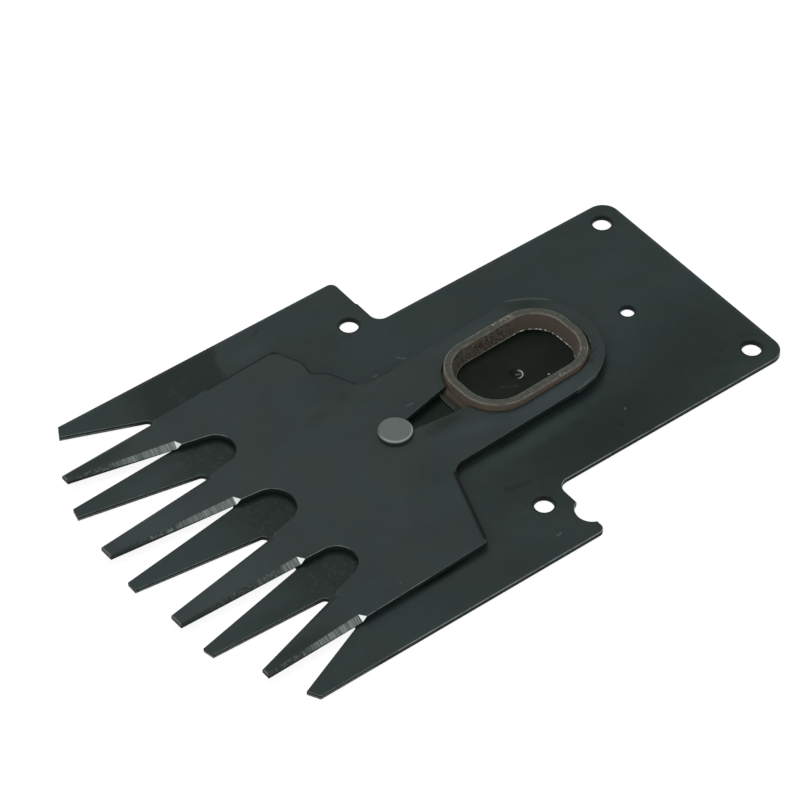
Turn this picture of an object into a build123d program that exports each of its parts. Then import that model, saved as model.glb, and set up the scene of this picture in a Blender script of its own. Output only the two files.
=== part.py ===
from build123d import *
from math import radians, tan
import os

# Hedge trimmer blade: a fixed plate with five teeth, a moving blade with four teeth on a rivet,
# and an oval bush in the moving blade's tail that the machine's crank disc runs in.
# Millimetres. The origin is midway between the two rear fixing holes, on the plate's underside.
# +X runs to the rear edge, +Y to the left seen from behind the teeth, +Z up through the blades.

# Fixed plate
cutting_width = 100.0
rear_width = 65.8
plate_thickness = 1.2
rear_margin = 6.0
shoulder_setback = 63.0
shoulder_step = 0.3
right_shoulder_step = 0.55
step_outset = 8.1
front_corner_radius = 1.7
rear_corner_radius = 4.4
waist_radius = 2.8
edge_break = 0.12

# Round notch in the plate's right shoulder
notch_inset = 6.65
notch_radius = 3.85
notch_depth = 2.45

# Fixing and locating holes
rear_hole_radius = 2.33
rear_hole_spacing = 54.0
front_hole_radius = 2.3
front_hole_side_inset = 14.0
front_hole_inset = 5.6
locating_hole_radius = 1.7
locating_hole_inset = 14.6
dimple_radius = 1.6
dimple_depth = 0.35
dimple_inset = 47.8
dimple_offset = 0.15

# Fixed teeth: distances from the centreline at root and tip, and how far each reaches from the roots
root_to_shoulder = 59.6
root_radius = 1.5
centre_root_half = 5.5
centre_tip_half = 1.4
centre_reach = 31.6
middle_root_inner = 17.82
middle_root_outer = 28.2
middle_tip_inner = 24.02
middle_tip_outer = 26.8
middle_reach = 29.5
middle_tip_slant = 0.6
outer_root_width = 10.9
outer_tip_width = 2.9
outer_reach = 19.2
outer_tip_slant = 1.6

# Moving blade, flat before it is set on the pivot; its own axis starts at the pivot
blade_thickness = 1.2
body_half_width = 38.4
tail_half_width = 16.2
tail_reach = 57.3
body_rear = 4.9
tail_root = 3.6
body_corner_radius = 1.5
tail_root_radius = 3.5
flank_station = 42.0
inner_flank_half = 6.72
middle_flank_outer = 16.55
outer_flank_inner = 29.06
outer_flank_half = 38.2
inner_tip_half = 11.02
inner_tip_outer = 14.6
outer_tip_near = 35.45
outer_tip_half = 37.7
inner_tooth_reach = 70.7
outer_tooth_reach = 64.85
centre_gullet_radius = 5.62
side_gullet_radius = 4.8
tip_chamfer = 0.3
tip_width_limit = 6.0

# Nick in the moving blade's left shoulder
nick_front = 31.2
nick_rear = 24.2
nick_deepest = 27.2
nick_depth = 2.0
nick_radius = 1.5

# Ground cutting bevels on the moving teeth
bevel_width = 1.55
bevel_taper = 2.3
bevel_start = 39.9
bevel_runout = 1.2
bevel_land = 0.1
wheel_overrun = 2.0

# Set of the moving blade: its teeth bear on the plate and its tail stands clear of it
rest_angle = 1.73
blade_rise = 0.72
tip_clearance = 0.15
pivot_to_shoulder = 19.5

# Rivet and spacer washer
shank_radius = 2.5
shank_clearance = 0.06
seat_clearance = 0.03
rivet_head_radius = 4.0
rivet_head_height = 1.15
rivet_head_chamfer = 0.35
countersink_radius = 3.9
countersink_depth = 0.8
washer_radius = 3.95
washer_clearance = 0.05

# Drive bush, and the slot that springs the moving blade open to take it
bush_to_pivot = 35.5
bush_length = 34.3
bush_width = 23.3
bush_corner_radius = 9.9
bush_wall = 1.9
bush_height = 4.15
bush_draft = 15.0
bush_rim_radius = 0.45
bush_float = 0.1
bush_fit = 0.1
window_front_slack = 0.4
window_rear_slack = 0.7
foot_overhang = 2.2
foot_clearance = 0.14
slot_pivot_half = 1.1
slot_bush_half = 4.1

shoulder_x = -shoulder_setback
root_x = shoulder_x - root_to_shoulder
pivot_x = shoulder_x - pivot_to_shoulder
pivot_gap = tip_clearance + inner_tooth_reach * tan(radians(blade_rise))
bush_front = bush_to_pivot - bush_length / 2
window_front = bush_front - bush_fit - window_front_slack
window_shift = (window_rear_slack - window_front_slack) / 2
foot_front = bush_front - foot_overhang
foot_thickness = pivot_gap + foot_front * tan(radians(blade_rise)) - bush_float - foot_clearance
half_width = cutting_width / 2
step_y = rear_width / 2 + step_outset
shank_hole_radius = shank_radius + shank_clearance


def outline(corners):
    """Closed face through corners given as (x, y, corner radius)."""
    points = [(x, y) for x, y, _ in corners]
    radii = [radius for _, _, radius in corners]
    return make_face(FilletPolyline(*points, radius=radii, close=True))


def mirrored(corners):
    """The same corners on the other side of the centreline, in reverse order."""
    return [(x, -y, radius) for x, y, radius in reversed(corners)]


def meeting(tip_a, root_a, tip_b, root_b):
    """Point where two tooth flanks would meet, each flank given by its tip and a point at its root."""
    slope_a = (root_a[1] - tip_a[1]) / (root_a[0] - tip_a[0])
    slope_b = (root_b[1] - tip_b[1]) / (root_b[0] - tip_b[0])
    x = (root_b[1] - root_a[1] + slope_a * root_a[0] - slope_b * root_b[0]) / (slope_a - slope_b)
    return x, root_a[1] + slope_a * (x - root_a[0])


def plate_teeth():
    """Corners of the fixed teeth on the left, from the centreline outwards."""
    return [
        (root_x - centre_reach, centre_tip_half, 0),
        (root_x, centre_root_half, root_radius),
        (root_x, middle_root_inner, root_radius),
        (root_x - middle_reach, middle_tip_inner, 0),
        (root_x - middle_reach + middle_tip_slant, middle_tip_outer, 0),
        (root_x, middle_root_outer, root_radius),
        (root_x, half_width - outer_root_width, root_radius),
        (root_x - outer_reach, half_width - outer_tip_width, 0),
        (root_x - outer_reach + outer_tip_slant, half_width, 0),
    ]


def plate_outline():
    """Outline of the fixed plate: teeth, stepped left shoulder, rear end and notched right shoulder."""
    inner_x = shoulder_x + shoulder_step
    left_rear = [
        (shoulder_x, half_width, front_corner_radius),
        (shoulder_x, step_y, 0),
        (inner_x, step_y - shoulder_step, 0),
        (inner_x, rear_width / 2, waist_radius),
        (rear_margin, rear_width / 2, rear_corner_radius),
    ]
    right_x = shoulder_x + right_shoulder_step
    right_rear = [
        (rear_margin, -rear_width / 2, rear_corner_radius),
        (right_x, -rear_width / 2, waist_radius),
        (right_x, -half_width, front_corner_radius),
    ]
    left_teeth = plate_teeth()
    face = outline(left_teeth + left_rear + right_rear + mirrored(left_teeth))
    notch_x = right_x - notch_depth + notch_radius
    return face - Pos(notch_x, notch_inset - half_width) * Circle(notch_radius)


def plate_holes():
    """Fixing holes, front and rear, and the small locating hole between them."""
    front_x = shoulder_x - front_hole_inset
    front_y = half_width - front_hole_side_inset
    holes = [Pos(-locating_hole_inset, 0) * Circle(locating_hole_radius)]
    for side in (-1, 1):
        holes.append(Pos(0, side * rear_hole_spacing / 2) * Circle(rear_hole_radius))
        holes.append(Pos(front_x, side * front_y) * Circle(front_hole_radius))
    return holes


def break_top_edges(solid, top, from_x):
    """Take the sharpness off the top edges behind a given station."""
    edges = solid.edges().filter_by_position(Axis.Z, top, top)
    behind = [edge for edge in edges if edge.center().X > from_x]
    return chamfer(behind, edge_break)


def make_fixed_blade():
    """Stamped plate, countersunk from below for the rivet, with a test dimple in its top."""
    plate = extrude(plate_outline() - plate_holes(), plate_thickness)
    plate = break_top_edges(plate, plate_thickness, root_x - outer_reach)
    shank_hole = shank_radius + seat_clearance
    plate -= Pos(pivot_x, 0, plate_thickness / 2) * Cylinder(shank_hole, 2 * plate_thickness)
    sink = Cone(countersink_radius + seat_clearance, shank_hole, countersink_depth)
    plate -= Pos(pivot_x, 0, countersink_depth / 2) * sink
    ball_radius = (dimple_radius**2 + dimple_depth**2) / (2 * dimple_depth)
    ball_height = plate_thickness - dimple_depth + ball_radius
    plate -= Pos(-dimple_inset, -dimple_offset, ball_height) * Sphere(ball_radius)
    return plate


def blade_flanks():
    """Tips and root points of the moving teeth's flanks on the left, from the centreline outwards."""
    return {
        "middle_inner": ((-inner_tooth_reach, inner_tip_half), (-flank_station, inner_flank_half)),
        "middle_outer": ((-inner_tooth_reach, inner_tip_outer), (-flank_station, middle_flank_outer)),
        "outer_inner": ((-outer_tooth_reach, outer_tip_near), (-flank_station, outer_flank_inner)),
        "outer_outer": ((-outer_tooth_reach, outer_tip_half), (-flank_station, outer_flank_half)),
    }


def blade_half():
    """Corners of the moving blade's left half, from the centre gullet to the tail."""
    flanks = blade_flanks()
    side_gullet = meeting(*flanks["middle_outer"], *flanks["outer_inner"])
    return [
        (*flanks["middle_inner"][0], 0),
        (*flanks["middle_outer"][0], 0),
        (*side_gullet, side_gullet_radius),
        (*flanks["outer_inner"][0], 0),
        (*flanks["outer_outer"][0], 0),
        (*flanks["outer_outer"][1], 0),
        (-body_rear, body_half_width, body_corner_radius),
        (tail_root, tail_half_width, tail_root_radius),
        (tail_reach - tail_half_width, tail_half_width, 0),
    ]


def shoulder_nick():
    """Nick cut into the moving blade's sloping left shoulder."""
    lean = (tail_root + body_rear) / (body_half_width - tail_half_width)

    def on_shoulder(offset, depth):
        return tail_root - lean * (offset - tail_half_width) - depth, offset

    return outline([
        (*on_shoulder(nick_front, 0), 0),
        (*on_shoulder(nick_deepest, nick_depth), nick_radius),
        (*on_shoulder(nick_rear, 0), 0),
        (*on_shoulder(nick_rear, -nick_depth), 0),
        (*on_shoulder(nick_front, -nick_depth), 0),
    ])


def blade_outline():
    """Outline of the moving blade with its gullets, bush window, slot and pivot hole."""
    flanks = blade_flanks()
    tip, root = flanks["middle_inner"]
    centre_gullet = meeting(tip, root, (tip[0], -tip[1]), (root[0], -root[1]))
    left = blade_half()
    face = outline([(*centre_gullet, centre_gullet_radius)] + left + mirrored(left))
    face += Pos(tail_reach - tail_half_width, 0) * Circle(tail_half_width)
    window = bush_oval(bush_fit, window_front_slack + window_rear_slack)
    face -= Pos(bush_to_pivot + window_shift, 0) * window
    face -= outline([
        (0, slot_pivot_half, 0),
        (0, -slot_pivot_half, 0),
        (window_front, -slot_bush_half, 0),
        (window_front + bush_corner_radius, 0, 0),
        (window_front, slot_bush_half, 0),
    ])
    face -= Circle(shank_hole_radius)
    return face - shoulder_nick()


def bush_oval(margin, slack=0.0):
    """Oval of the bush's outside wall, larger by a margin all round and longer by some slack."""
    length = bush_length + 2 * margin + slack
    return RectangleRounded(length, bush_width + 2 * margin, bush_corner_radius + margin)


def flank_grind(tip, root, inward):
    """Wedge ground off one tooth flank; it narrows to the tip and runs out in a facet at the root."""
    reach = (bevel_start - flank_station) / (root[0] - tip[0])
    start = Vector(*root) + (Vector(*tip) - Vector(*root)) * reach
    along = (Vector(*tip) - start).normalized()
    across = Vector(-along.Y, along.X) * inward
    length = (Vector(*tip) - start).length
    slope = (blade_thickness - bevel_land) / bevel_width
    top = blade_thickness + wheel_overrun

    def at(distance, depth, height):
        point = start + along * distance + across * depth
        return point.X, point.Y, height

    corners = []
    for distance in (0, length + wheel_overrun):
        shift = distance * tan(radians(bevel_taper))
        corners += [
            at(distance, (top - bevel_land) / slope - shift, top),
            at(distance, -wheel_overrun, bevel_land + (shift - wheel_overrun) * slope),
            at(distance, -wheel_overrun, top),
        ]
    rise = (top - bevel_land) / (blade_thickness - bevel_land)
    runout = bevel_runout * (wheel_overrun / bevel_width + rise)
    corners.append(at(-runout, -wheel_overrun, top))
    return ConvexPolyhedron(corners)


def make_moving_blade():
    """Moving blade with its tips chamfered and its teeth ground, set on the pivot at its rest angle."""
    blade = extrude(blade_outline(), blade_thickness)
    top_edges = blade.edges().filter_by_position(Axis.Z, blade_thickness, blade_thickness)
    front = [edge for edge in top_edges if edge.center().X < tip_chamfer - outer_tooth_reach]
    blade = chamfer([edge for edge in front if edge.length < tip_width_limit], tip_chamfer)
    blade = break_top_edges(blade, blade_thickness, -flank_station)
    for name, (tip, root) in blade_flanks().items():
        inward = 1 if name.endswith("outer") else -1
        grind = flank_grind(tip, root, inward)
        blade -= [grind, mirror(grind, Plane.XZ)]
    place = Pos(pivot_x, 0, plate_thickness + pivot_gap) * Rot(0, 0, rest_angle) * Rot(0, -blade_rise, 0)
    return place * blade


def make_rivet():
    """Rivet with a low chamfered head, peened flush into the plate's countersink."""
    head_seat = plate_thickness + pivot_gap + blade_thickness + rivet_head_radius * tan(radians(blade_rise))
    head_seat += washer_clearance
    profile = Polyline(
        (0, 0),
        (countersink_radius, 0),
        (shank_radius, countersink_depth),
        (shank_radius, head_seat),
        (rivet_head_radius, head_seat),
        (rivet_head_radius, head_seat + rivet_head_height - rivet_head_chamfer),
        (rivet_head_radius - rivet_head_chamfer, head_seat + rivet_head_height),
        (0, head_seat + rivet_head_height),
        close=True,
    )
    return Pos(pivot_x, 0, 0) * revolve(Plane.XZ * make_face(profile), Axis.Z)


def make_washer():
    """Spacer washer on the rivet that holds the moving blade off the plate."""
    lowest_blade = pivot_gap - washer_radius * tan(radians(blade_rise))
    thickness = lowest_blade - washer_clearance
    ring = Circle(washer_radius) - Circle(shank_radius + seat_clearance)
    return Pos(pivot_x, 0, plate_thickness) * extrude(ring, thickness)


def make_bush():
    """Oval bush: upright wall with a drafted mouth, and a foot that lies under the blade."""
    wall = extrude(bush_oval(0), bush_height)
    foot = extrude(bush_oval(foot_overhang), foot_thickness)
    bush = wall + foot
    mouth = Pos(0, 0, bush_height) * bush_oval(-bush_wall)
    bush -= extrude(mouth, -bush_height, taper=bush_draft)
    rim = bush.edges().filter_by_position(Axis.Z, bush_height, bush_height)
    bush = fillet(rim, bush_rim_radius)
    place = Pos(pivot_x, 0, plate_thickness + bush_float) * Rot(0, 0, rest_angle) * Pos(bush_to_pivot, 0, 0)
    return place * bush


def main():
    os.makedirs("parts", exist_ok=True)
    pieces = {
        "fixed_blade": make_fixed_blade(),
        "moving_blade": make_moving_blade(),
        "pivot_rivet": make_rivet(),
        "spacer_washer": make_washer(),
        "drive_bush": make_bush(),
    }
    for name, piece in pieces.items():
        export_step(piece, f"parts/{name}.step")


main()
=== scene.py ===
import math
import bpy
import numpy as np
from mathutils import Matrix, Vector

# Hedge trimmer blade: finishes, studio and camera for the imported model. Metres, in the model's frame.

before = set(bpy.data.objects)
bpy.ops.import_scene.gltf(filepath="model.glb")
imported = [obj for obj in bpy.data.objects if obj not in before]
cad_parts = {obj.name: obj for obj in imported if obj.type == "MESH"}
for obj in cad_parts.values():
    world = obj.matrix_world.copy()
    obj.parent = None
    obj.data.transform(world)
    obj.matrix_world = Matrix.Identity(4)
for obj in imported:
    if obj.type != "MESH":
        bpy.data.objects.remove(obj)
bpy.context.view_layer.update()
MM = 0.001

# Places that the finishes are laid out from: plan points in mm, the moving blade's turn at rest in degrees,
# and each hole's plan point and radius in mm
PIVOT = (-82.5, 0.0)
BUSH_CENTRE = (-47.02, 1.07)
TAIL_CENTRE = (-41.4, 1.24)
DIMPLE = (-47.95, -0.35)
REST_TURN = 1.73
HOLES = ((0.0, 27.0, 2.33), (0.0, -27.0, 2.33), (-68.6, 36.0, 2.3), (-68.6, -36.0, 2.3), (-14.6, 0.0, 1.7))

# Colours of the black oxide and of what lies on it, and of painted light and shade laid on it
PLATE_DARK, PLATE_LIGHT = (0.0156, 0.0225, 0.0211), (0.0224, 0.0332, 0.0314)
PLATE_WARM, PLATE_COOL = (0.0196, 0.0270, 0.0216), (0.0176, 0.0290, 0.0308)
BLADE_DARK, BLADE_LIGHT = (0.0176, 0.0237, 0.0228), (0.0244, 0.0344, 0.0332)
BLADE_WARM, BLADE_COOL = (0.0220, 0.0294, 0.0240), (0.0200, 0.0314, 0.0332)
PLATE_TEETH, BLADE_TEETH = (0.0265, 0.0390, 0.0375), (0.0310, 0.0440, 0.0425)
# The first tone darkens: as painted shade in the gullets of the moving blade and beside its near side, and as
# plain darker patches elsewhere. The second lightens, as plain paler patches
DARKER_TONE, PALER_TONE, OLIVE = (0.0076, 0.0125, 0.0102), (0.0300, 0.0400, 0.0425), (0.0160, 0.0215, 0.0142)
# The second of these is painted light: a paler tone that lifts a shadow
BLUISH, SHADOW_LIFT, MOTTLE = (0.0190, 0.0225, 0.0260), (0.0230, 0.0360, 0.0290), (0.030, 0.043, 0.038)
TAIL_SMUDGE, RIVET_SMUDGE = (0.0120, 0.0180, 0.0133), (0.0115, 0.0155, 0.0110)
# The first is painted shade on the plate under the moving blade's slot. The second is ragged painted shade in
# the shadow along its near edges
SLOT_SHADE, RAGGED_SHADE = (0.0040, 0.0085, 0.0050), (0.0036, 0.0084, 0.0048)
# The second tone is that of dark specks and marks, and of painted shade on the moving blade's far edge faces
# and round the plate's holes
PALE, SOOT_AND_SHADE = (0.080, 0.098, 0.092), (0.0045, 0.0070, 0.0060)
GAP_SHADE = (0.0008, 0.0022, 0.0016)

# Colours of the painted shade over a dark tint on the plate in and under the bush, and of what shines in it;
# the dimple's rim is a painted highlight
BUSH_FLOOR_SHADE_DARK, BUSH_FLOOR_SHADE_LIGHT = (0.0018, 0.0040, 0.0020), (0.0042, 0.0072, 0.0046)
BUSH_FLOOR_SPECK, BUSH_FLOOR_SCRATCH = (0.040, 0.048, 0.040), (0.036, 0.046, 0.038)
BUSH_FLOOR_DOT, DIMPLE_SCRATCH, DIMPLE_RIM_HIGHLIGHT = (0.20, 0.22, 0.20), (0.20, 0.23, 0.20), (0.34, 0.38, 0.34)

# Colours of cut, ground and worn steel, and of painted highlights and shade on its edges, walls and facets
CUT_DULL, CUT_BRIGHT, CUT_WALL_SHADE = (0.080, 0.090, 0.084), (0.20, 0.215, 0.20), (0.0085, 0.0115, 0.0105)
PLATE_EDGE_HIGHLIGHT, BLADE_WALL_SHADE = (0.25, 0.28, 0.262), (0.0130, 0.0185, 0.0162)
BLADE_EDGE_HIGHLIGHT, GULLET_EDGE_HIGHLIGHT = (0.060, 0.078, 0.072), (0.15, 0.175, 0.163)
BAR_DARK, BAR_BRIGHT, WORN_BEVEL = (0.062, 0.077, 0.071), (0.22, 0.246, 0.230), (0.024, 0.032, 0.029)
# Runout facets: painted glare on those facing the near side, painted light on those facing away
RUNOUT_GLARE, RUNOUT_FAR_LIT = (0.66, 0.68, 0.65), (0.040, 0.055, 0.051)
RIVET_DARK, RIVET_LIGHT = (0.043, 0.055, 0.049), (0.066, 0.081, 0.073)
RIVET_EDGE_HIGHLIGHT, RIVET_FOOT_SHADE, BARE_STEEL_AND_SHEEN = (0.26, 0.285, 0.27), (0.015, 0.018, 0.016), (0.12, 0.135, 0.127)

# Colours of the moulded bush, with painted light on its near and front outsides, painted shade and highlights
# at its foot, and a painted highlight on its flash line
BUSH_DARK, BUSH_LIGHT = (0.056, 0.045, 0.036), (0.112, 0.092, 0.075)
LIT_OUTSIDE_DARK, LIT_OUTSIDE_LIGHT = (0.082, 0.064, 0.050), (0.150, 0.122, 0.096)
ROUGH_PIT, ROUGH_LUMP = (0.017, 0.016, 0.011), (0.118, 0.110, 0.088)
RIM_DARK, RIM_LIGHT = (0.019, 0.0215, 0.0150), (0.050, 0.0535, 0.0410)
RIM_RING, RIM_SCUFF, WORN_PLASTIC = (0.24, 0.24, 0.215), (0.21, 0.20, 0.17), (0.15, 0.145, 0.125)
LEDGE_BROWN, LEDGE_SHADE = (0.075, 0.060, 0.048), (0.0020, 0.0045, 0.0018)
FOOT_SHADE, FOOT_HIGHLIGHT = (0.010, 0.010, 0.008), (0.20, 0.20, 0.18)
PIT, FLASH_HIGHLIGHT = (0.014, 0.013, 0.009), (0.62, 0.61, 0.55)

# Gloss of each finish, and how far up the slanted faces look: broken edges and ground bevels
SHEET_GLOSS, RIVET_GLOSS, BUSH_GLOSS = 0.05, 0.3, 0.12
EDGE_SLANT, BEVEL_SLANT = 0.707, 0.815

# Reaches of the finishes in metres, from where each is nothing to where it is full: along and across
# the plate, along the moving blade from its pivot, and up the plate's cut walls. Three numbers are
# a band's middle, its half width and its soft edge.
COMB = (-0.1185, -0.1215)
OIL_FRONT, OIL_REAR, OIL_SIDE = (-0.134, -0.120), (-0.098, -0.104), (0.034, 0.032)
STRIP_FRONT, STRIP_REAR, STRIP_SIDE = (-0.1280, -0.1170), (-0.0992, -0.1006), (0.0380, 0.0390)
BEVEL_REACH, RUNOUT_FRONT, RUNOUT_REAR = (-0.0355, -0.0385), (-0.0445, -0.0435), (-0.0372, -0.0382)
CLEAR_BARS, FAINT_BARS, TIP_FACE = (-0.0570, -0.0490), (-0.0670, -0.0560), (-0.0640, -0.0644)
TOOTH_WALL, LOW_CUT, HIGH_CUT = (-0.1235, -0.1275), (0.00080, 0.00045), (0.00088, 0.00010, 0.00020)
THIRD_FAR, THIRD_NEAR, THIRD_FRONT = (0.0, -0.004), (-0.024, -0.020), (-0.0430, -0.0450)
GULLETS = (-0.020, -0.024)

# The same for the rivet and the bush: up from the plate's underside, and along and across the bush
HEAD_SIDE, HEAD_FOOT = (0.0040, 0.0043), (0.00405, 0.00375)
RIM_TOP, LIP_TOP = (0.0045, 0.0050), (0.0049, 0.0051)
LEDGE_TOP, FOOT_TOP = (0.0030, 0.0026), (0.00265, 0.0023)
FOOT_HIGHLIGHT_LINES = ((0.00222, 0.00008, 0.0001), (0.00150, 0.00010, 0.0001))
FLASH_LINE = (0.00144, 0.00008, 0.00014)
ROUGH_ALONG, ROUGH_ACROSS, NEAR_WALL = (0.011, 0.002), (0.001, 0.006), (0.002, -0.002)
FRONT_WALL, REAR_WALL = (-0.004, -0.008), (0.004, 0.008)
LEDGE_END, FOOT_END = (-0.0174, -0.0186), (-0.0180, -0.0188)

# Floor's paint and its own glow: first for the light that it throws on the part, then for the camera
FLOOR_PAINT, FLOOR_GLOW = (0.8, 0.16), (0.0, 0.88)

# Marks: a run of plan points in mm, the mark's width in mm and its strength
PLATE_SOOT_MARKS = (
    (((0.9, -22.8), (2.6, -22.9), (3.9, -24.3)), 0.55, 0.7),
    (((-6.0, -23.3), (-3.4, -22.4)), 1.1, 0.5),
    (((-39.8, -26.7), (-39.2, -28.0)), 0.55, 0.9),
    (((-72.3, -27.7), (-69.7, -28.2)), 1.3, 0.7),
    (((-69.7, -27.6), (-67.1, -28.6)), 0.9, 0.6),
    (((-89.0, 46.8), (-86.4, 47.6)), 0.4, 0.6),
    (((-80.6, 38.6), (-79.0, 36.9)), 0.5, 0.6),
    (((-80.5, 31.0), (-79.0, 31.1)), 0.45, 0.5),
    (((-71.6, 33.7), (-70.5, 32.8)), 0.8, 0.5),
)
PLATE_PALE_MARKS = (
    (((-66.2, 20.6), (-64.9, 19.2)), 0.4, 0.7),
    (((-74.6, 19.0), (-73.5, 18.9)), 0.35, 0.7),
    (((-35.5, -24.1), (-35.3, -24.0)), 0.45, 0.8),
    (((-72.1, -45.0), (-71.2, -44.9)), 0.4, 0.7),
)
# Painted highlights along the plate's far top edges
PLATE_FAR_EDGE_HIGHLIGHTS = (
    (((5.5, -28.0), (5.5, 28.0)), 0.5, 0.2),
    (((1.5, 32.4), (-59.0, 32.4)), 0.5, 0.2),
    (((-66.0, 49.5), (-139.0, 49.5)), 0.5, 0.2),
)
BUSH_FLOOR_SCRATCHES = ((((-53.5, -1.5), (-51.5, -2.7), (-49.7, -3.7)), 0.35, 0.5),)
BUSH_FLOOR_DOTS = ((((-42.2, -4.9), (-42.0, -4.9)), 0.32, 1.0),)
DIMPLE_SCRATCHES = ((((-47.9, -0.3), (-47.3, -0.6)), 0.3, 0.6),)
RIM_SCUFFS = (
    (((-52.5, 12.9), (-48.9, 12.8)), 1.3, 0.75),
    (((-44.5, 12.5), (-40.0, 12.0)), 1.3, 0.75),
)
RIM_RINGS = (((-33.5, -6.4), 0.5), ((-42.5, -10.1), 0.65))
BLADE_SOOT_MARKS = (
    (((-31.7, -7.8), (-29.9, -7.1)), 0.5, 0.8),
    (((-34.1, -10.0), (-32.2, -9.1)), 0.5, 0.8),
    (((-28.7, -3.5), (-30.2, -6.1), (-32.4, -7.2)), 0.4, 0.6),
)
BLADE_PALE_MARKS = (
    (((-29.5, -4.1), (-31.4, -6.8), (-36.7, -9.6)), 0.4, 0.6),
    (((-41.7, -14.9), (-35.3, -13.7)), 0.5, 0.7),
    (((-75.1, 5.1), (-73.9, 4.9)), 0.4, 0.6),
)

# Patches: centre in mm, half length and half width in mm, turn in degrees, strength and tone
PLATE_PATCHES = (
    ((-144.0, 0.0), 26.0, 56.0, 0.0, 0.40, PLATE_TEETH),
    ((-15.0, 24.0), 34.0, 20.0, 0.0, 0.10, DARKER_TONE),
    # Painted shade: the soft edge of the moving blade's shadow, spread wide beside its near side
    ((-44.0, -27.0), 50.0, 18.0, 4.0, 0.85, DARKER_TONE),
    ((-8.0, -18.0), 26.0, 20.0, 0.0, 0.55, DARKER_TONE),
    ((-88.0, -46.5), 26.0, 6.5, 0.0, 0.25, DARKER_TONE),
    # Painted shade on the plate seen through the moving blade's slot
    ((-70.0, 1.0), 15.0, 12.0, 3.0, 1.00, SLOT_SHADE),
    # Painted shade: ragged dark patches in the shadow along the moving blade's near edges, here and on the
    # next line
    ((-62.5, -16.9), 7.5, 1.9, 1.7, 0.85, RAGGED_SHADE),
    ((-99.5, -38.5), 11.0, 1.7, 1.7, 0.85, RAGGED_SHADE),
    ((-124.0, 43.6), 5.5, 2.2, 10.0, 0.25, BLUISH),
    ((-134.0, -26.5), 15.0, 4.2, -4.0, 0.40, DARKER_TONE),
    # Painted shade in the middle gullet of the moving blade
    ((-118.0, -1.0), 7.5, 5.0, 0.0, 0.65, DARKER_TONE),
    # Painted light: a paler band that lifts the moving blade's shadow along its near side
    ((-57.0, -18.5), 25.0, 3.8, 2.0, 0.60, SHADOW_LIFT),
    ((-92.0, 42.5), 9.0, 5.5, 0.0, 0.35, PALER_TONE),
    ((-132.0, 23.5), 12.0, 3.5, 4.0, 0.30, PALER_TONE),
)
BLADE_PATCHES = (
    ((-143.0, -6.0), 24.0, 40.0, 0.0, 0.45, BLADE_TEETH),
    ((-93.0, 14.6), 4.6, 2.2, 20.0, 0.55, OLIVE),
    ((-84.8, 16.0), 3.8, 2.4, 10.0, 0.55, OLIVE),
    ((-80.8, 12.4), 3.4, 2.2, 0.0, 0.40, OLIVE),
    ((-50.0, 13.2), 14.0, 4.0, -2.0, 0.55, PALER_TONE),
    ((-47.0, -12.6), 18.0, 4.2, 2.0, 0.95, PALER_TONE),
    ((-66.0, -10.5), 8.0, 3.4, -14.0, 0.55, PALER_TONE),
    ((-34.0, 13.9), 8.0, 3.4, -30.0, 0.90, TAIL_SMUDGE),
    ((-71.5, -4.4), 8.5, 3.4, 2.0, 0.85, RIVET_SMUDGE),
    ((-85.0, 21.0), 9.0, 9.0, 0.0, 0.30, DARKER_TONE),
    ((-83.0, -15.0), 10.0, 9.0, 0.0, 0.30, DARKER_TONE),
    ((-140.5, 34.5), 15.0, 3.6, 1.7, 0.50, DARKER_TONE),
    ((-138.5, -37.5), 16.0, 3.8, 1.7, 0.65, DARKER_TONE),
    ((-140.0, 10.6), 15.0, 3.6, -6.0, 0.55, PALER_TONE),
    ((-138.5, -14.5), 15.0, 3.8, 6.0, 0.50, PALER_TONE),
)


def on_blade(along, across):
    """Plan point in mm of a place given along and across the moving blade from its pivot."""
    c, s = math.cos(math.radians(REST_TURN)), math.sin(math.radians(REST_TURN))
    return PIVOT[0] + along * c - across * s, PIVOT[1] + along * s + across * c


# Edges of the moving blade with a line of painted shade along them: a run of plan points, the shade's width
# in mm and its strength
FAR_SHOULDER = (
    (-24.0, 38.2),
    (-6.4, 38.3),
    (-4.4, 37.0),
    (-2.2, 31.2),
    (-2.7, 27.2),
    (0.5, 24.2),
    (2.9, 18.0),
)
BLADE_FAR_EDGE = [on_blade(*corner) for corner in FAR_SHOULDER]
BLADE_FAR_TAIL = [on_blade(2.9, 18.0), on_blade(5.0, 16.4), on_blade(12.0, 16.1)]
BLADE_NEAR_SHOULDER = [on_blade(2.6, -18.4), on_blade(-4.6, -37.2)]
BLADE_SHADED_EDGES = (
    (BLADE_FAR_EDGE, 0.75, 0.75),
    (BLADE_FAR_TAIL, 0.6, 0.5),
    (BLADE_NEAR_SHOULDER, 1.2, 1.0),
)


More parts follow.
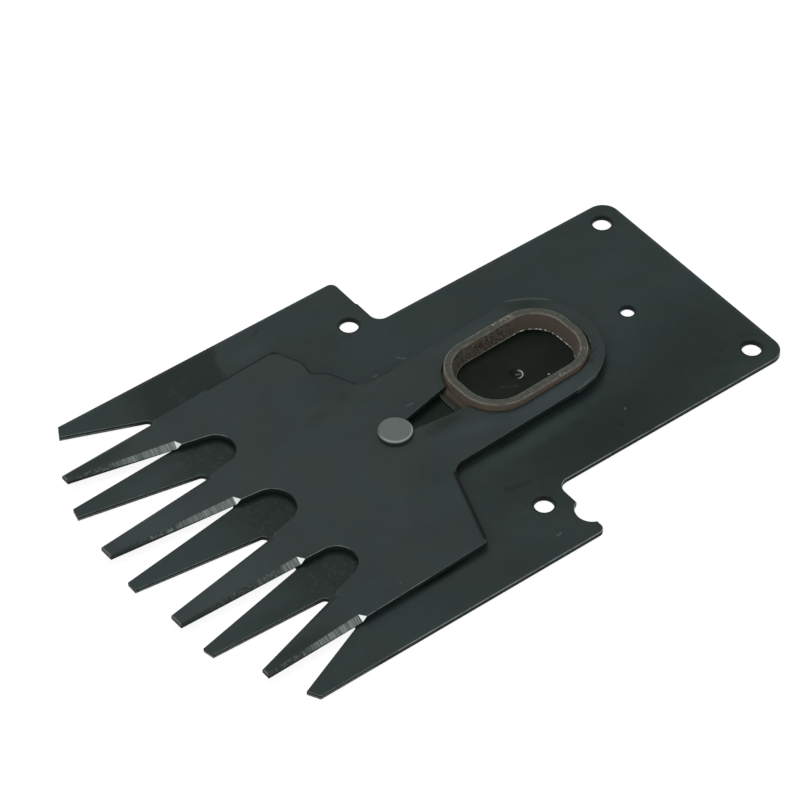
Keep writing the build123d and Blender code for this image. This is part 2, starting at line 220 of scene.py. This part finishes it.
class Finish:
    """Node tree of one finish, with short calls for the sums and masks that it is made of."""

    def __init__(self, name):
        self.material = bpy.data.materials.new(name)
        self.material.use_nodes = True
        self.tree = self.material.node_tree
        self.tree.nodes.clear()
        self.coords = self.add("ShaderNodeTexCoord")
        self.place = self.coords.outputs["Object"]
        facing = self.add("ShaderNodeVectorTransform", vector_type="NORMAL")
        facing.convert_from, facing.convert_to = "WORLD", "OBJECT"
        self.join(self.add("ShaderNodeNewGeometry").outputs["True Normal"], facing.inputs[0])
        parts = self.add("ShaderNodeSeparateXYZ")
        self.join(self.place, parts.inputs[0])
        self.x, self.y, self.z = parts.outputs
        sides = self.add("ShaderNodeSeparateXYZ")
        self.join(facing.outputs[0], sides.inputs[0])
        self.nx, self.ny, self.nz = sides.outputs

    def add(self, kind, **settings):
        made = self.tree.nodes.new(kind)
        for key, value in settings.items():
            setattr(made, key, value)
        return made

    def join(self, source, socket):
        """A socket takes either a link or a plain number or colour."""
        if isinstance(source, bpy.types.NodeSocket):
            self.tree.links.new(source, socket)
        else:
            socket.default_value = source

    def sum(self, kind, a, b=0.0, c=0.0):
        made = self.add("ShaderNodeMath", operation=kind)
        for value, socket in zip((a, b, c), made.inputs):
            self.join(value, socket)
        return made.outputs[0]

    def times(self, *values):
        product = values[0]
        for value in values[1:]:
            product = self.sum("MULTIPLY", product, value)
        return product

    def most(self, *values):
        top = values[0]
        for value in values[1:]:
            top = self.sum("MAXIMUM", top, value)
        return top

    def rest(self, value):
        """What a share leaves of 1."""
        return self.sum("SUBTRACT", 1.0, value)

    def step(self, value, start, end):
        """0 before start and 1 after end, smooth between them; start may be the larger."""
        made = self.add("ShaderNodeMapRange", interpolation_type="SMOOTHSTEP")
        self.join(value, made.inputs["Value"])
        self.join(start, made.inputs["From Min"])
        self.join(end, made.inputs["From Max"])
        return made.outputs["Result"]

    def band(self, value, centre, half, soft):
        """1 where a value lies within half of a centre, falling to 0 over soft."""
        away = self.sum("ABSOLUTE", self.sum("SUBTRACT", value, centre))
        return self.step(away, half + soft, half)

    def stretched(self, scale, turn=0.0):
        """Object coordinates with one scale per axis, turned about Z."""
        made = self.add("ShaderNodeMapping", vector_type="POINT")
        self.join(self.place, made.inputs["Vector"])
        made.inputs["Scale"].default_value = scale
        made.inputs["Rotation"].default_value = (0.0, 0.0, turn)
        return made.outputs[0]

    def noise(self, scale, detail=3.0, roughness=0.5, vector=None, seed=0.0):
        made = self.add("ShaderNodeTexNoise", noise_dimensions="4D")
        self.join(vector or self.place, made.inputs["Vector"])
        made.inputs["Scale"].default_value = scale
        made.inputs["Detail"].default_value = detail
        made.inputs["Roughness"].default_value = roughness
        made.inputs["W"].default_value = seed
        return made.outputs["Factor" if "Factor" in made.outputs else "Fac"]

    def specks(self, scale, size, share, seed):
        """Round specks: a cell holds one where its own random number is under the share."""
        cells = self.add("ShaderNodeTexVoronoi", voronoi_dimensions="4D")
        self.join(self.place, cells.inputs["Vector"])
        cells.inputs["Scale"].default_value = scale
        cells.inputs["W"].default_value = seed
        pick = self.add("ShaderNodeSeparateColor")
        self.join(cells.outputs["Color"], pick.inputs[0])
        spot = self.step(cells.outputs["Distance"], size, size * 0.4)
        return self.times(spot, self.sum("LESS_THAN", pick.outputs[0], share))

    def from_point(self, centre, turn=0.0):
        """Plan distances from a point in mm, along and across a direction turned from +X by some degrees."""
        c, s = math.cos(math.radians(turn)), math.sin(math.radians(turn))
        dx = self.sum("SUBTRACT", self.x, centre[0] * MM)
        dy = self.sum("SUBTRACT", self.y, centre[1] * MM)
        along = self.sum("ADD", self.times(dx, c), self.times(dy, s))
        return along, self.sum("SUBTRACT", self.times(dy, c), self.times(dx, s))

    def length(self, a, b):
        return self.sum("SQRT", self.sum("ADD", self.times(a, a), self.times(b, b)))

    def mark(self, points, width):
        """1 along a run of straight lines between plan points in mm, falling to 0 at its width."""
        nearest = None
        for start, end in zip(points, points[1:]):
            long = math.hypot(end[0] - start[0], end[1] - start[1]) * MM
            turn = math.degrees(math.atan2(end[1] - start[1], end[0] - start[0]))
            along, across = self.from_point(start, turn)
            held = self.sum("MINIMUM", self.sum("MAXIMUM", along, 0.0), long)
            away = self.length(self.sum("SUBTRACT", along, held), across)
            nearest = away if nearest is None else self.sum("MINIMUM", nearest, away)
        return self.step(nearest, width * MM, width * MM * 0.25)

    def patch(self, centre, half_long, half_wide, turn=0.0, soft=0.9, ragged=0.6, seed=0.0):
        """Oval patch about a point in mm: 1 in its middle, 0 at its edge, with an edge as ragged as asked."""
        along, across = self.from_point(centre, turn)
        long, wide = half_long * MM, half_wide * MM
        away = self.length(self.times(along, 1.0 / long), self.times(across, 1.0 / wide))
        rough = self.sum("SUBTRACT", self.noise(330.0, 4.0, 0.6, seed=seed), 0.5)
        away = self.sum("ADD", away, self.times(rough, ragged))
        return self.step(away, 1.0, 1.0 - soft)

    def oval(self, centre, half_long, half_wide, corner, turn, soft):
        """Round-cornered oblong about a point in mm: 1 inside and 0 outside, over a soft edge."""
        along, across = self.from_point(centre, turn)
        over = [
            self.sum("MAXIMUM", self.sum("SUBTRACT", self.sum("ABSOLUTE", v), (half - corner) * MM), 0.0)
            for v, half in ((along, half_long), (across, half_wide))
        ]
        return self.step(self.length(*over), corner * MM, (corner - soft) * MM)

    def ring(self, centre, radius, width):
        """Thin circle in plan about a point in mm."""
        away = self.length(*self.from_point(centre))
        return self.band(away, radius * MM, width * MM * 0.3, width * MM * 0.7)

    def arc(self, centre, radius, width, start, end):
        """Part of a thin circle from one bearing to another, fading at both ends."""
        dx, dy = self.from_point(centre)
        middle, half = math.radians((start + end) / 2), math.radians((end - start) / 2)
        bearing = self.sum("ARCTAN2", dy, dx)
        off = self.sum("ABSOLUTE", self.sum("WRAP", self.sum("SUBTRACT", bearing, middle), -math.pi, math.pi))
        return self.times(self.ring(centre, radius, width), self.step(off, half, half * 0.5))

    def mix(self, share, a, b):
        made = self.add("ShaderNodeMix", data_type="RGBA")
        self.join(share, made.inputs[0])
        self.join(a if isinstance(a, bpy.types.NodeSocket) else (*a, 1.0), made.inputs[6])
        self.join(b if isinstance(b, bpy.types.NodeSocket) else (*b, 1.0), made.inputs[7])
        return made.outputs[2]

    def blend(self, share, a, b):
        """Number between a and b."""
        made = self.add("ShaderNodeMix", data_type="FLOAT")
        for value, place in ((share, 0), (a, 2), (b, 3)):
            self.join(value, made.inputs[place])
        return made.outputs[0]

    def draw(self, colour, marks, tone, broken=True):
        """Each mark of a list laid over the colour in one tone, broken up by the grain or whole."""
        broken = self.step(self.noise(2300.0, 3.0, 0.65, seed=61.0), 0.40, 0.58) if broken else 1.0
        for points, width, strength in marks:
            colour = self.mix(self.times(self.mark(points, width), broken, strength), colour, tone)
        return colour

    def cloud_over(self, colour, patches):
        """Each patch of a list laid over the colour in its own tone."""
        for seed, (centre, half_long, half_wide, turn, strength, tone) in enumerate(patches):
            share = self.times(self.patch(centre, half_long, half_wide, turn, seed=seed + 0.5), strength)
            colour = self.mix(share, colour, tone)
        return colour

    def bump(self, height, depth, strength=1.0):
        made = self.add("ShaderNodeBump")
        self.join(height, made.inputs["Height"])
        made.inputs["Distance"].default_value = depth
        made.inputs["Strength"].default_value = strength
        return made.outputs[0]

    def close(self, colour, roughness, normal, metallic=0.0, gloss=0.5):
        shader = self.add("ShaderNodeBsdfPrincipled")
        self.join(colour, shader.inputs["Base Color"])
        self.join(roughness, shader.inputs["Roughness"])
        self.join(metallic, shader.inputs["Metallic"])
        self.join(gloss, shader.inputs["Specular IOR Level"])
        self.join(normal, shader.inputs["Normal"])
        out = self.add("ShaderNodeOutputMaterial")
        self.join(shader.outputs[0], out.inputs["Surface"])
        return self.material


def oxide_skin(f, dark, light, warm, cool, seed):
    """Black oxide on rolled sheet: warm and cool clouds, faint rolling streaks, a fine grain and dust."""
    clouds = f.step(f.noise(46.0, 5.0, 0.6, seed=seed), 0.32, 0.68)
    flecks = f.step(f.noise(240.0, 4.0, 0.6, seed=seed + 1.0), 0.30, 0.70)
    streaks = f.step(f.noise(1.0, 3.0, 0.6, f.stretched((60.0, 900.0, 60.0)), seed=seed + 2.0), 0.3, 0.7)
    grain = f.noise(5200.0, 2.0, 0.6, seed=seed + 3.0)
    tone = f.blend(0.30, clouds, flecks)
    tone = f.blend(0.12, tone, streaks)
    tone = f.blend(0.14, tone, grain)
    colour = f.mix(tone, dark, light)
    colour = f.mix(f.times(f.step(f.noise(100.0, 4.0, 0.6, seed=seed + 4.0), 0.48, 0.64), 0.6), colour, warm)
    colour = f.mix(f.times(f.step(f.noise(85.0, 4.0, 0.6, seed=seed + 5.0), 0.48, 0.64), 0.6), colour, cool)
    colour = f.mix(f.times(f.specks(340.0, 0.13, 0.16, seed + 6.0), 0.6), colour, PALE)
    return f.mix(f.times(f.specks(230.0, 0.10, 0.12, seed + 7.0), 0.55), colour, SOOT_AND_SHADE), grain


def broken_edge(f):
    """1 on the narrow slanted faces along the sheet's top edges, where these face the sheet's near side: the
    faces that carry a painted edge highlight.
    """
    slant = f.band(f.nz, EDGE_SLANT, 0.03, 0.04)
    wear = f.step(f.noise(420.0, 3.0, 0.6, seed=9.0), 0.30, 0.58)
    return f.times(slant, f.step(f.ny, -0.1, -0.35), f.blend(0.6, 1.0, wear))


def upright(f):
    """1 on the sheet's cut walls."""
    return f.step(f.sum("ABSOLUTE", f.nz), 0.35, 0.1)


def darkened_plate(f):
    """1 where the plate is painted darker: in the gullets of the moving blade, as painted shade between its
    teeth, and in a strip in front of its left shoulder.
    """
    ragged = f.noise(260.0, 4.0, 0.65, seed=31.0)
    gullets = f.times(f.step(f.x, *OIL_FRONT), f.step(f.x, *OIL_REAR))
    gullets = f.times(gullets, f.step(f.sum("ABSOLUTE", f.y), *OIL_SIDE), f.step(ragged, 0.28, 0.50))
    lean = f.sum("SUBTRACT", f.x, f.times(f.sum("SUBTRACT", f.y, 0.044), 0.35))
    lean = f.sum("ADD", lean, f.times(f.sum("SUBTRACT", ragged, 0.5), 0.006))
    strip = f.times(f.step(f.y, *STRIP_SIDE), f.step(lean, *STRIP_FRONT), f.step(lean, *STRIP_REAR))
    return gullets, f.times(strip, f.step(ragged, 0.22, 0.46))


def clear_of_holes(f):
    """0 in the plate's five round holes and on their rims, 1 elsewhere."""
    clear = 1.0
    for x, y, radius in HOLES:
        away = f.length(*f.from_point((x, y)))
        clear = f.times(f.step(away, (radius + 0.4) * MM, (radius + 0.6) * MM), clear)
    return clear


def comb(f):
    """1 on the plate's five teeth, 0 on its body."""
    return f.step(f.x, *COMB)


def cut_walls(f, colour):
    """Bare bright line in the plate's cut walls, partly a painted highlight: low down between the teeth, high
    up along the sides. Painted shade over the rest of the walls.
    """
    cut = f.step(f.noise(1.0, 2.0, 0.5, f.stretched((1500.0, 1500.0, 260.0)), seed=3.0), 0.25, 0.75)
    bare = f.mix(cut, CUT_DULL, CUT_BRIGHT)
    in_teeth = f.times(f.step(f.z, *LOW_CUT), comb(f), f.step(f.x, *TOOTH_WALL))
    in_sides = f.times(f.band(f.z, *HIGH_CUT), f.rest(comb(f)), f.step(f.ny, -0.3, -0.7))
    bright = f.most(f.times(in_teeth, 0.8), f.times(in_sides, 0.35))
    bright = f.times(bright, clear_of_holes(f))
    wall = upright(f)
    colour = f.mix(f.times(wall, bright), colour, bare)
    # Painted shade over the cut walls away from the bright line
    return f.mix(f.times(wall, f.rest(bright), 0.8), colour, CUT_WALL_SHADE)


def shaded_bush_floor(f, colour):
    """Painted shade over a dark tint on the plate in and under the bush, its scratch and dot, and the
    dimple's lit rim as a painted highlight.
    """
    film = f.noise(150.0, 4.0, 0.6, seed=34.0)
    floor_shade = f.mix(f.step(film, 0.36, 0.66), BUSH_FLOOR_SHADE_DARK, BUSH_FLOOR_SHADE_LIGHT)
    floor_shade = f.mix(f.times(f.specks(420.0, 0.09, 0.12, 38.0), 0.5), floor_shade, BUSH_FLOOR_SPECK)
    floor_shade = f.draw(floor_shade, BUSH_FLOOR_SCRATCHES, BUSH_FLOOR_SCRATCH)
    floor_shade = f.draw(floor_shade, BUSH_FLOOR_DOTS, BUSH_FLOOR_DOT, broken=False)
    # Painted shade over a dark tint, in and under the bush
    colour = f.mix(f.oval(BUSH_CENTRE, 20.0, 14.5, 12.5, REST_TURN, 4.0), colour, floor_shade)
    # Painted highlight on the dimple's rim
    colour = f.mix(f.times(f.arc(DIMPLE, 1.45, 0.22, -128.0, 55.0), 0.75), colour, DIMPLE_RIM_HIGHLIGHT)
    return f.draw(colour, DIMPLE_SCRATCHES, DIMPLE_SCRATCH)


def plate_finish():
    """Fixed blade: black oxide with bare cut walls, darker in patches, with painted shade in the moving
    blade's gullets, on the cut walls and inside the bush, and painted highlights along its edges.
    """
    f = Finish("blackened plate")
    colour, grain = oxide_skin(f, PLATE_DARK, PLATE_LIGHT, PLATE_WARM, PLATE_COOL, 1.3)
    colour = f.cloud_over(colour, PLATE_PATCHES)
    gullets, strip = darkened_plate(f)
    # Painted shade in the gullets of the moving blade, and a plain darker strip in front of its left shoulder
    colour = f.mix(f.most(f.times(gullets, 0.64), f.times(strip, 0.78)), colour, DARKER_TONE)
    mottle = f.step(f.noise(900.0, 3.0, 0.7, seed=33.0), 0.52, 0.64)
    colour = f.mix(f.times(gullets, mottle, 0.45), colour, MOTTLE)
    # Pale arc round the tail's end
    pale_arc = f.arc(TAIL_CENTRE, 19.7, 0.40, 36.0, 76.0)
    colour = f.mix(f.times(pale_arc, 0.4), colour, PALE)
    # Painted highlight along the plate's far top edges
    colour = f.draw(colour, PLATE_FAR_EDGE_HIGHLIGHTS, PALE)
    colour = f.draw(colour, PLATE_PALE_MARKS, PALE)
    colour = f.draw(colour, PLATE_SOOT_MARKS, SOOT_AND_SHADE)
    # Painted shade: a dark ring round each hole's rim
    for x, y, radius in HOLES:
        colour = f.mix(f.times(f.ring((x, y), radius + 0.2, 0.4), 0.7), colour, SOOT_AND_SHADE)
    colour = cut_walls(f, colour)
    # Painted highlight on the broken top edges that face the near side
    edges = f.times(broken_edge(f), clear_of_holes(f), f.blend(comb(f), 0.9, 0.35))
    colour = f.mix(edges, colour, PLATE_EDGE_HIGHLIGHT)
    colour = shaded_bush_floor(f, colour)
    rough = f.blend(f.step(grain, 0.2, 0.8), 0.42, 0.54)
    return f.close(colour, rough, f.bump(grain, 0.00002, 0.5), 0.0, SHEET_GLOSS)


def ground_bars(f, along):
    """Grinding marks across the near bevels: clear bars at the roots, broken and gone towards the tips."""
    bars = f.noise(1.0, 2.0, 0.65, f.stretched((3000.0, 120.0, 0.0), -math.radians(REST_TURN)), seed=7.0)
    fine = f.noise(1.0, 2.0, 0.6, f.stretched((6500.0, 300.0, 0.0)), seed=8.0)
    marks = f.step(f.blend(0.45, bars, fine), 0.38, 0.62)
    broken = f.step(f.noise(1100.0, 3.0, 0.65, seed=36.0), 0.60, 0.38)
    clear = f.step(along, *CLEAR_BARS)
    faint = f.times(f.step(along, *FAINT_BARS), broken, 0.75)
    fresh = f.most(clear, faint)
    third = f.times(f.step(f.y, *THIRD_FAR), f.step(f.y, *THIRD_NEAR), f.step(along, *THIRD_FRONT))
    fresh = f.times(fresh, f.rest(f.times(third, f.blend(broken, 0.92, 0.50))))
    ground = f.mix(marks, BAR_DARK, BAR_BRIGHT)
    return f.mix(fresh, WORN_BEVEL, ground), marks


def blade_finish():
    """Moving blade: black oxide, near flanks ground in bright bars, bare ground runout facets at the roots
    with painted glare, painted highlights and shade along its edges, walls painted darker as shade.
    """
    f = Finish("blackened blade with ground bevels")
    colour, grain = oxide_skin(f, BLADE_DARK, BLADE_LIGHT, BLADE_WARM, BLADE_COOL, 51.3)
    colour = f.cloud_over(colour, BLADE_PATCHES)
    # Painted shade along the moving blade's far edges and near shoulder
    shaded = [f.times(f.mark(points, width), strength) for points, width, strength in BLADE_SHADED_EDGES]
    colour = f.mix(f.most(*shaded), colour, GAP_SHADE)
    along = f.from_point(PIVOT, REST_TURN)[0]
    near = f.step(f.ny, 0.0, -0.1)
    bevel = f.times(f.band(f.nz, BEVEL_SLANT, 0.02, 0.03), f.step(along, *BEVEL_REACH))
    ground, marks = ground_bars(f, along)
    colour = f.mix(f.times(bevel, near), colour, ground)
    # Runout facets at the roots: bare ground steel with painted glare where they face the near side, painted
    # lighter as if lit where they face away
    runout = f.times(f.step(f.nx, -0.32, -0.40), f.step(f.nz, 0.2, 0.3), f.step(f.nz, 0.80, 0.77))
    runout = f.times(runout, f.step(along, *RUNOUT_FRONT), f.step(along, *RUNOUT_REAR))
    facet = f.times(runout, near)
    colour = f.mix(facet, colour, RUNOUT_GLARE)
    colour = f.mix(f.times(runout, f.rest(near)), colour, RUNOUT_FAR_LIT)
    # Painted highlight on the broken top edges that face the near side, brighter in the gullets
    edges = f.times(broken_edge(f), f.rest(facet))
    gullet = f.step(along, *GULLETS)
    colour = f.mix(edges, colour, f.mix(gullet, BLADE_EDGE_HIGHLIGHT, GULLET_EDGE_HIGHLIGHT))
    # Painted shade on the slanted edge faces that face away from the near side
    away = f.most(f.step(f.ny, 0.1, 0.35), f.step(f.nx, 0.3, 0.6))
    slant = f.times(f.band(f.nz, EDGE_SLANT, 0.03, 0.04), away)
    colour = f.mix(f.times(slant, 0.8), colour, SOOT_AND_SHADE)
    # Painted shade: the cut walls darker than the top
    colour = f.mix(f.times(upright(f), 0.8), colour, BLADE_WALL_SHADE)
    tips = f.times(f.step(along, *TIP_FACE), f.band(f.nz, 0.70, 0.05, 0.05))
    colour = f.mix(f.times(tips, 0.7), colour, BARE_STEEL_AND_SHEEN)
    colour = f.draw(colour, BLADE_PALE_MARKS, PALE)
    colour = f.draw(colour, BLADE_SOOT_MARKS, SOOT_AND_SHADE)
    rough = f.blend(f.step(grain, 0.2, 0.8), 0.40, 0.52)
    height = f.sum("ADD", grain, f.times(marks, bevel, 2.0))
    return f.close(colour, rough, f.bump(height, 0.00002, 0.5), f.times(facet, 0.6), SHEET_GLOSS)


def rivet_finish():
    """Rivet and washer: dull bare steel, with a painted highlight round the head's near edge and on its side,
    and painted shade at the head's foot.
    """
    f = Finish("dull rivet steel")
    grain = f.noise(4200.0, 3.0, 0.6, seed=11.0)
    clouds = f.noise(420.0, 3.0, 0.5, seed=12.0)
    colour = f.mix(f.blend(0.4, clouds, grain), RIVET_DARK, RIVET_LIGHT)
    # Painted highlight on the head's chamfer where it faces the near side
    edge = f.times(f.band(f.nz, EDGE_SLANT, 0.12, 0.1), f.step(f.ny, 0.45, -0.35))
    colour = f.mix(f.times(edge, 0.85), colour, RIVET_EDGE_HIGHLIGHT)
    # Painted highlight on the upper part of the head's side
    side = f.times(upright(f), f.step(f.z, *HEAD_SIDE))
    colour = f.mix(f.times(side, 0.6), colour, BARE_STEEL_AND_SHEEN)
    # Painted shade at the head's foot
    foot = f.times(upright(f), f.step(f.z, *HEAD_FOOT))
    colour = f.mix(f.times(foot, 0.8), colour, RIVET_FOOT_SHADE)
    return f.close(colour, f.blend(grain, 0.42, 0.58), f.bump(grain, 0.00002, 0.6), 0.0, RIVET_GLOSS)


def bush_wall(f, place, grain, clouds, lumps):
    """Bush wall's colour, and 1 at its rough far end: lumpy there, with painted light making its near and
    front outsides paler.
    """
    along, across = place
    wall = f.mix(f.blend(0.35, clouds, grain), BUSH_DARK, BUSH_LIGHT)
    rough_end = f.times(f.step(along, *ROUGH_ALONG), f.step(across, *ROUGH_ACROSS))
    wall = f.mix(f.times(rough_end, 0.8), wall, f.mix(lumps, ROUGH_PIT, ROUGH_LUMP))
    # Painted light: the outsides that face the near side and the front are paler
    near_side = f.times(f.step(f.ny, -0.2, -0.5), f.step(across, *NEAR_WALL))
    front_side = f.times(f.step(f.nx, -0.2, -0.5), f.step(along, *FRONT_WALL))
    lit_outside = f.mix(f.blend(0.5, clouds, lumps), LIT_OUTSIDE_DARK, LIT_OUTSIDE_LIGHT)
    return f.mix(f.times(f.most(near_side, front_side), 0.9), wall, lit_outside), rough_end


def bush_finish():
    """Drive bush: brown moulded plastic, rim worn and pitted, wall rough at one end, near and front outsides
    painted paler as if lit, painted shade and highlight lines at the foot's front end, flash line low down
    with a painted highlight.
    """
    f = Finish("brown moulded plastic")
    along, across = f.from_point(BUSH_CENTRE, REST_TURN)
    grain = f.noise(2600.0, 3.0, 0.6, seed=21.0)
    clouds = f.noise(240.0, 3.0, 0.55, seed=22.0)
    lumps = f.step(f.noise(1900.0, 3.0, 0.7, seed=25.0), 0.40, 0.60)
    wall, rough_end = bush_wall(f, (along, across), grain, clouds, lumps)
    top = f.step(f.nz, 0.25, 0.75)
    rim = f.times(top, f.step(f.z, *RIM_TOP))
    crumbs = f.step(f.noise(1500.0, 3.0, 0.7, seed=29.0), 0.42, 0.62)
    worn = f.mix(f.blend(0.5, clouds, crumbs), RIM_DARK, RIM_LIGHT)
    colour = f.mix(rim, wall, worn)
    lip = f.times(f.band(f.nz, 0.70, 0.20, 0.12), f.step(f.z, *LIP_TOP))
    lip_wear = f.blend(f.step(f.noise(500.0, seed=26.0), 0.35, 0.6), 0.25, 0.75)
    colour = f.mix(f.times(lip, lip_wear), colour, WORN_PLASTIC)
    # The ledge's front end is painted shade
    ledge = f.times(top, f.step(f.z, *LEDGE_TOP))
    ledge_tone = f.mix(f.step(along, *LEDGE_END), LEDGE_BROWN, LEDGE_SHADE)
    colour = f.mix(f.times(ledge, 0.95), colour, ledge_tone)
    # Painted shade on the foot's front face, with painted highlight lines along its edges
    foot_edge = f.times(f.step(f.z, *FOOT_TOP), f.step(along, *FOOT_END))
    foot_highlight = f.most(*(f.band(f.z, *line) for line in FOOT_HIGHLIGHT_LINES))
    colour = f.mix(f.times(foot_edge, upright(f)), colour, f.mix(foot_highlight, FOOT_SHADE, FOOT_HIGHLIGHT))
    specks = f.specks(900.0, 0.30, 0.20, 23.0)
    colour = f.mix(f.times(specks, f.blend(top, 0.18, 0.4)), colour, WORN_PLASTIC)
    pits = f.specks(700.0, 0.22, 0.16, 27.0)
    colour = f.mix(f.times(pits, 0.6), colour, PIT)
    for centre, radius in RIM_RINGS:
        colour = f.mix(f.times(f.ring(centre, radius, 0.26), rim, crumbs, 0.6), colour, RIM_RING)
    colour = f.mix(crumbs, colour, f.draw(colour, RIM_SCUFFS, RIM_SCUFF))
    # Flash line low down on the wall, carrying a painted highlight that is brightest at the rear end
    flash = f.step(f.noise(1300.0, 2.0, 0.6, seed=24.0), 0.46, 0.60)
    rear_end = f.step(along, *REAR_WALL)
    low_edge = f.times(f.band(f.z, *FLASH_LINE), f.blend(rear_end, 0.8, flash))
    colour = f.mix(f.times(low_edge, f.blend(rear_end, 0.22, 1.0)), colour, FLASH_HIGHLIGHT)
    rough = f.blend(grain, 0.38, 0.60)
    height = f.sum("ADD", grain, f.sum("SUBTRACT", f.times(lumps, rough_end, 1.6), f.times(pits, 0.9)))
    return f.close(colour, rough, f.bump(height, 0.00003, 0.7), 0.0, BUSH_GLOSS)


def dress():
    """Each node keeps its shape and gets its finish."""
    finishes = {
        "fixed_blade": plate_finish(),
        "moving_blade": blade_finish(),
        "pivot_rivet": rivet_finish(),
        "drive_bush": bush_finish(),
    }
    finishes["spacer_washer"] = finishes["pivot_rivet"]
    for name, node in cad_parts.items():
        for place in node.material_slots:
            place.material = finishes[name]


def background_rays(tree):
    """1 for the rays in which the white surround is seen: from the camera, in gloss and through glass."""
    rays = tree.nodes.new("ShaderNodeLightPath")
    seen = rays.outputs["Is Camera Ray"]
    for kind in ("Is Glossy Ray", "Is Transmission Ray"):
        both = tree.nodes.new("ShaderNodeMath")
        both.operation = "MAXIMUM"
        tree.links.new(seen, both.inputs[0])
        tree.links.new(rays.outputs[kind], both.inputs[1])
        seen = both.outputs[0]
    return seen


def white_floor():
    """Plain square of floor, its corners half a side from the middle each way; it keeps a soft shadow."""
    half, level = 3.0, -0.00002
    ways = np.array([[-1, -1], [1, -1], [1, 1], [-1, 1]])
    corners = np.column_stack([ways * half, np.full(4, level)])
    mesh = bpy.data.meshes.new("floor")
    mesh.from_pydata(corners.tolist(), [], [[0, 1, 2, 3]])
    floor = bpy.data.objects.new("floor", mesh)
    bpy.context.scene.collection.objects.link(floor)
    material = bpy.data.materials.new("white floor")
    material.use_nodes = True
    tree = material.node_tree
    tree.nodes.clear()
    seen = background_rays(tree)
    paint = tree.nodes.new("ShaderNodeBsdfDiffuse")
    tone = tree.nodes.new("ShaderNodeMapRange")
    tone.inputs["To Min"].default_value, tone.inputs["To Max"].default_value = FLOOR_PAINT
    glow = tree.nodes.new("ShaderNodeEmission")
    share = tree.nodes.new("ShaderNodeMapRange")
    share.inputs["To Min"].default_value, share.inputs["To Max"].default_value = FLOOR_GLOW
    both = tree.nodes.new("ShaderNodeAddShader")
    out = tree.nodes.new("ShaderNodeOutputMaterial")
    for source, socket in (
        (seen, tone.inputs["Value"]),
        (seen, share.inputs["Value"]),
        (tone.outputs[0], paint.inputs[0]),
        (share.outputs[0], glow.inputs[1]),
        (paint.outputs[0], both.inputs[0]),
        (glow.outputs[0], both.inputs[1]),
        (both.outputs[0], out.inputs[0]),
    ):
        tree.links.new(source, socket)
    mesh.materials.append(material)


def studio_sky(level):
    """Plain sky: white to the camera, and one even level for everything that it lights."""
    world = bpy.data.worlds.new("studio")
    bpy.context.scene.world = world
    world.use_nodes = True
    tree = world.node_tree
    sky = next(n for n in tree.nodes if n.type == "BACKGROUND")
    sky.inputs[0].default_value = (1.0, 1.0, 1.0, 1.0)
    pick = tree.nodes.new("ShaderNodeMapRange")
    pick.inputs["To Min"].default_value = level
    pick.inputs["To Max"].default_value = 1.0
    tree.links.new(background_rays(tree), pick.inputs["Value"])
    tree.links.new(pick.outputs[0], sky.inputs[1])


def soft_box(name, azimuth, elevation, distance, size, power):
    """Square lamp that faces the middle of the blade from a bearing and a height in degrees."""
    middle = Vector((-0.075, 0.0, 0.0))
    a, e = math.radians(azimuth), math.radians(elevation)
    away = Vector((math.cos(e) * math.cos(a), math.cos(e) * math.sin(a), math.sin(e)))
    lamp = bpy.data.lights.new(name, "AREA")
    lamp.shape = "SQUARE"
    lamp.size = size
    lamp.energy = power
    holder = bpy.data.objects.new(name, lamp)
    holder.location = middle + away * distance
    holder.rotation_euler = away.to_track_quat("Z", "Y").to_euler()
    bpy.context.scene.collection.objects.link(holder)


def photo_camera():
    """Camera solved from the plate's straight edges and round holes."""
    right = Vector((0.79507741, -0.60643252, -0.00956597))
    up = Vector((0.43649331, 0.56118162, 0.70324163))
    back = Vector((-0.42110034, -0.56330702, 0.71088657))
    lens = bpy.data.cameras.new("camera")
    lens.sensor_width = 36.0
    lens.lens = 162.102
    lens.shift_x = -0.000625
    lens.shift_y = 0.000625
    lens.clip_start = 0.01
    camera = bpy.data.objects.new("camera", lens)
    turn = Matrix((right, up, back)).transposed().to_4x4()
    camera.matrix_world = Matrix.Translation((-0.418535, -0.451673, 0.582766)) @ turn
    bpy.context.scene.collection.objects.link(camera)
    bpy.context.scene.camera = camera


dress()
white_floor()
studio_sky(0.72)
soft_box("far key", 72.0, 62.0, 1.1, 0.5, 5.5)
soft_box("front fill", -150.0, 35.0, 1.2, 0.6, 2.2)
photo_camera()
bpy.context.scene.view_settings.view_transform = "Standard"
